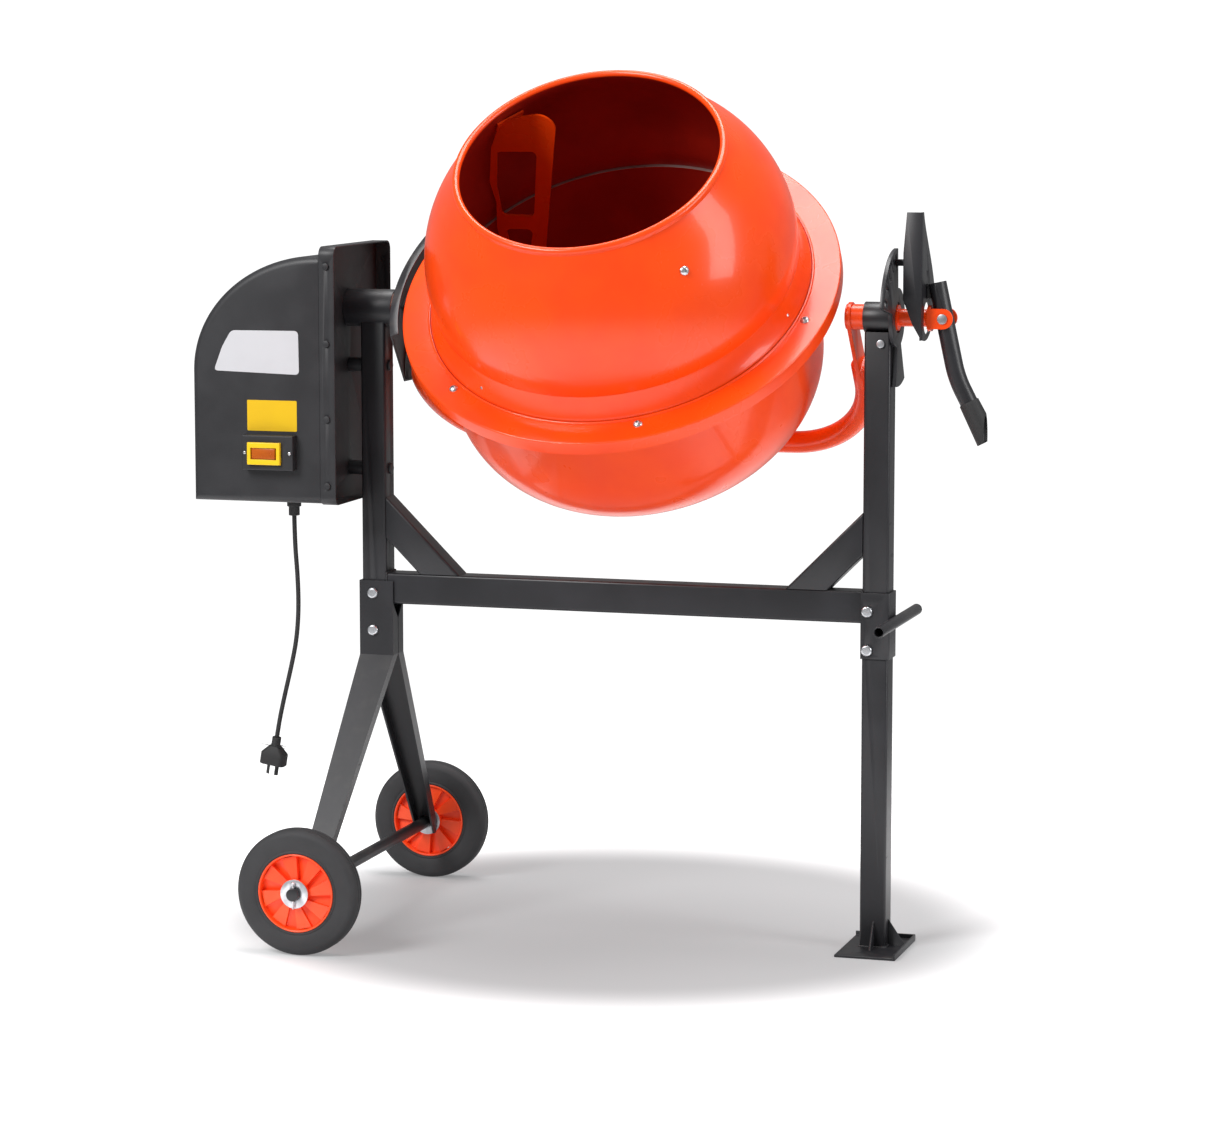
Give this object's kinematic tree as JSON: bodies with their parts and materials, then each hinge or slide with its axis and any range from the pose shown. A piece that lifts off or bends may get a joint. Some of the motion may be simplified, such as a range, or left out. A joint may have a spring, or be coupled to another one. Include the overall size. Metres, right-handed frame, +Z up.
{
  "type": "concrete mixer",
  "caption": "Tilting drum concrete mixer on a square tube frame with two wheels, a foot plate, a belt and gear drive in a housing, and a locking tilt lever.",
  "frame": {"origin": "on the ground, under the middle of the machine's outline", "axes": "+Z up, +X along the tilt axis towards the lever, -Y the side the drum empties to"},
  "size_m": [1.2117, 0.677, 1.3168],
  "materials": {
    "frame_black": "satin black powder coat",
    "drum_orange": "glossy orange paint",
    "housing_black": "fine-grained black plastic",
    "zinc": "bright zinc plate",
    "bright_steel": "turned steel",
    "gear_iron": "cast and oiled",
    "pulley_alloy": "turned aluminium",
    "motor_grey": "grey enamel",
    "capacitor_white": "moulded",
    "bush_nylon": "natural nylon",
    "black_rubber": "moulded rubber",
    "tyre_black": "moulded rubber",
    "wheel_orange": "glossy orange plastic",
    "switch_black": "fine-grained black plastic",
    "switch_yellow": "glossy yellow plastic",
    "rocker_amber": "translucent amber"
  },
  "bodies": {
    "root": {"left_post": "frame_black", "right_post": "frame_black", "crossbar": "frame_black", "braces": "frame_black", "right_leg": "frame_black", "leg_bracket": "frame_black", "foot_plate": "frame_black", "front_wheel_leg": "frame_black", "rear_wheel_leg": "frame_black", "axle": "frame_black", "axle_washers": "zinc", "split_pins": "zinc", "lift_handle": "frame_black", "frame_bolts": "zinc", "left_sleeve": "frame_black", "right_sleeve": "frame_black", "trunnion_bushes": "bush_nylon", "locking_plate": "frame_black", "housing_tray": "housing_black", "housing_spacers": "zinc", "housing_cover": "housing_black", "housing_screws": "zinc", "switch_box": "switch_black", "switch_frame": "switch_yellow", "motor_housing": "motor_grey", "motor_bracket": "pulley_alloy", "capacitor": "capacitor_white", "drive_belt": "black_rubber", "cable_gland": "black_rubber", "power_cord": "black_rubber", "plug": "black_rubber"},
    "yoke": {"yoke_bow": "drum_orange", "bearing_hub": "frame_black", "drum_bearings": "bright_steel", "right_trunnion": "drum_orange", "left_trunnion": "drum_orange", "pinion_bushes": "bush_nylon", "pinion_guard": "frame_black", "lever_pin": "bright_steel", "lever_spring": "bright_steel"},
    "tilt_lever": {"lever_tube": "frame_black", "lever_grip": "black_rubber", "lever_channel": "frame_black"},
    "drum": {"upper_drum": "drum_orange", "lower_drum": "drum_orange", "drum_seal": "black_rubber", "ring_gear": "gear_iron", "mixing_blades": "drum_orange", "drum_bolts": "zinc", "drum_spindle": "bright_steel"},
    "pinion": {"pinion_gear": "gear_iron", "pinion_shaft": "bright_steel", "drive_pulley": "pulley_alloy"},
    "motor_rotor": {"motor_shaft": "bright_steel", "motor_pulley": "pulley_alloy"},
    "front_wheel": {"front_rim": "wheel_orange", "front_tyre": "tyre_black"},
    "rear_wheel": {"rear_rim": "wheel_orange", "rear_tyre": "tyre_black"},
    "switch_key": {"switch_rocker": "rocker_amber"}
  },
  "joints": [
    {"name": "drum_tilt", "type": "hinge", "parent": "root", "child": "yoke", "pos_m": [0.044, 0.0105, 0.953], "axis": [1, 0, 0], "range_deg": [-75, 75]},
    {"name": "drum_spin", "type": "hinge", "parent": "yoke", "child": "drum", "pos_m": [0.048, 0.0105, 0.953], "axis": [0, -0.6307, 0.776], "continuous": true},
    {"name": "pinion_spin", "type": "hinge", "parent": "yoke", "child": "pinion", "pos_m": [-0.258, 0.0105, 0.953], "axis": [1, 0, 0], "continuous": true},
    {"name": "motor_spin", "type": "hinge", "parent": "root", "child": "motor_rotor", "pos_m": [-0.424, 0.0105, 0.76], "axis": [1, 0, 0], "continuous": true},
    {"name": "lever_rock", "type": "hinge", "parent": "yoke", "child": "tilt_lever", "pos_m": [0.539, 0.0105, 0.953], "axis": [0, 1, 0], "range_deg": [0, 8], "stiffness_Nm_per_rad": 6, "springref_deg": -17.19},
    {"name": "front_wheel_spin", "type": "hinge", "parent": "root", "child": "front_wheel", "pos_m": [-0.374, -0.2855, 0.096], "axis": [0, 1, 0], "continuous": true},
    {"name": "rear_wheel_spin", "type": "hinge", "parent": "root", "child": "rear_wheel", "pos_m": [-0.374, 0.3065, 0.096], "axis": [0, 1, 0], "continuous": true},
    {"name": "switch_rock", "type": "hinge", "parent": "root", "child": "switch_key", "pos_m": [-0.4843, -0.1325, 0.737], "axis": [0, 0, 1], "range_deg": [0, 10.2]}
  ],
  "couplings": [
    {"joint": "pinion_spin", "follows": "drum_spin", "ratio": 12},
    {"joint": "motor_spin", "follows": "drum_spin", "ratio": 50}
  ]
}
